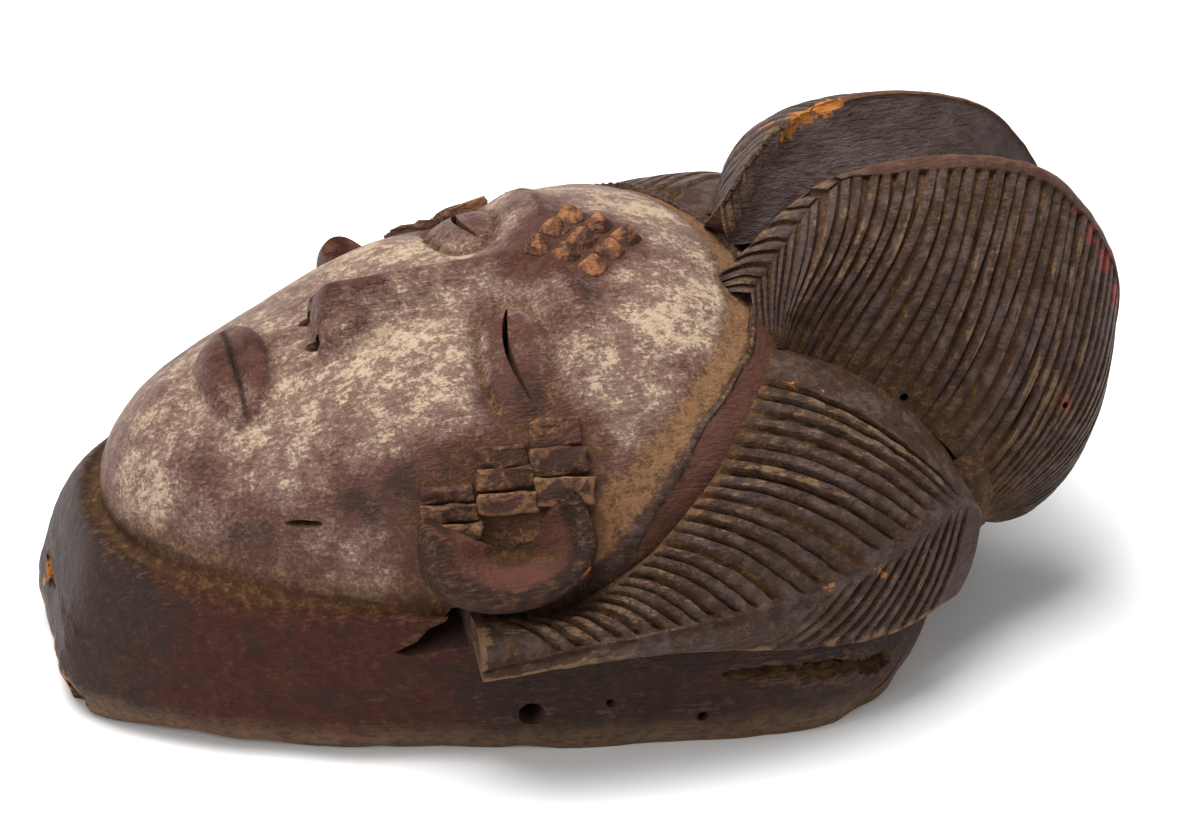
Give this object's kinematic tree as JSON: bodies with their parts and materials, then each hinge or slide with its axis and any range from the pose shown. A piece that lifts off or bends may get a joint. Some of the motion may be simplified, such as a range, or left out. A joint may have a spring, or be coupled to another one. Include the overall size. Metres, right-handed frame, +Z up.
{
  "type": "punu mask",
  "caption": "Carved wooden face mask in the Punu style, lying on its flat back rim, with scarified face, rolled grooved hair and a cleft crest of paired buns.",
  "frame": {"origin": "on the ground under the middle of the mask's outline, as it lies on its back rim", "axes": "+X from the chin to the crown, +Z up out of the face, -Y towards the mask's own left side"},
  "size_m": [0.3054, 0.1916, 0.1362],
  "materials": {
    "patinated_wood": "Hand-carved wood with a dark satin patina on the hair and collar, and worn cream kaolin over the face, dusty in the recesses"
  },
  "bodies": {
    "root": {"mask": "patinated_wood"}
  },
  "joints": []
}
